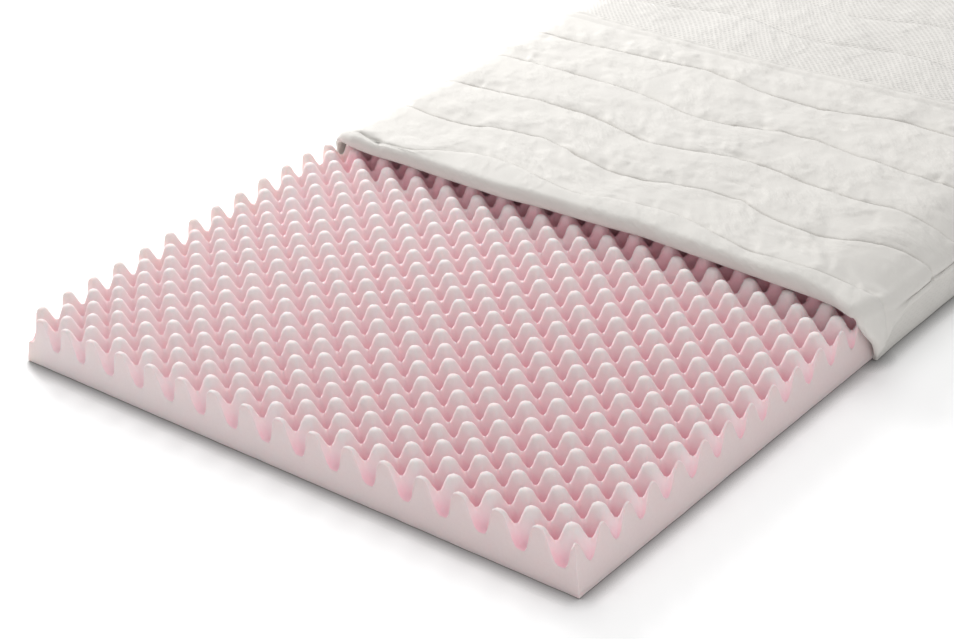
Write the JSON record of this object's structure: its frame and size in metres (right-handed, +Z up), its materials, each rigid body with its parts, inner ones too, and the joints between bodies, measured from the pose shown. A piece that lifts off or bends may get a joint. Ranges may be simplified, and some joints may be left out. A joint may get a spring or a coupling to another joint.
{
  "type": "mattress topper",
  "caption": "Low flat mattress topper: an egg-box profiled foam sheet in a quilted cover, whose top is turned back from the foot end so that the foam shows.",
  "frame": {"origin": "centre of the underside, on the surface that the topper lies on", "axes": "+Z up through the thickness, +Y along the length towards the covered head end, +X across to the right seen from the foot end"},
  "size_m": [0.916, 2, 0.0999],
  "materials": {
    "foam": "soft open-cell foam, pale pink, matte",
    "quilt": "off-white quilted cloth, softly crumpled",
    "border": "off-white knitted border cloth"
  },
  "bodies": {
    "root": {"foam_core": "foam", "cover_panel": "quilt", "border_left": "border", "border_right": "border", "border_head": "border"}
  },
  "joints": []
}
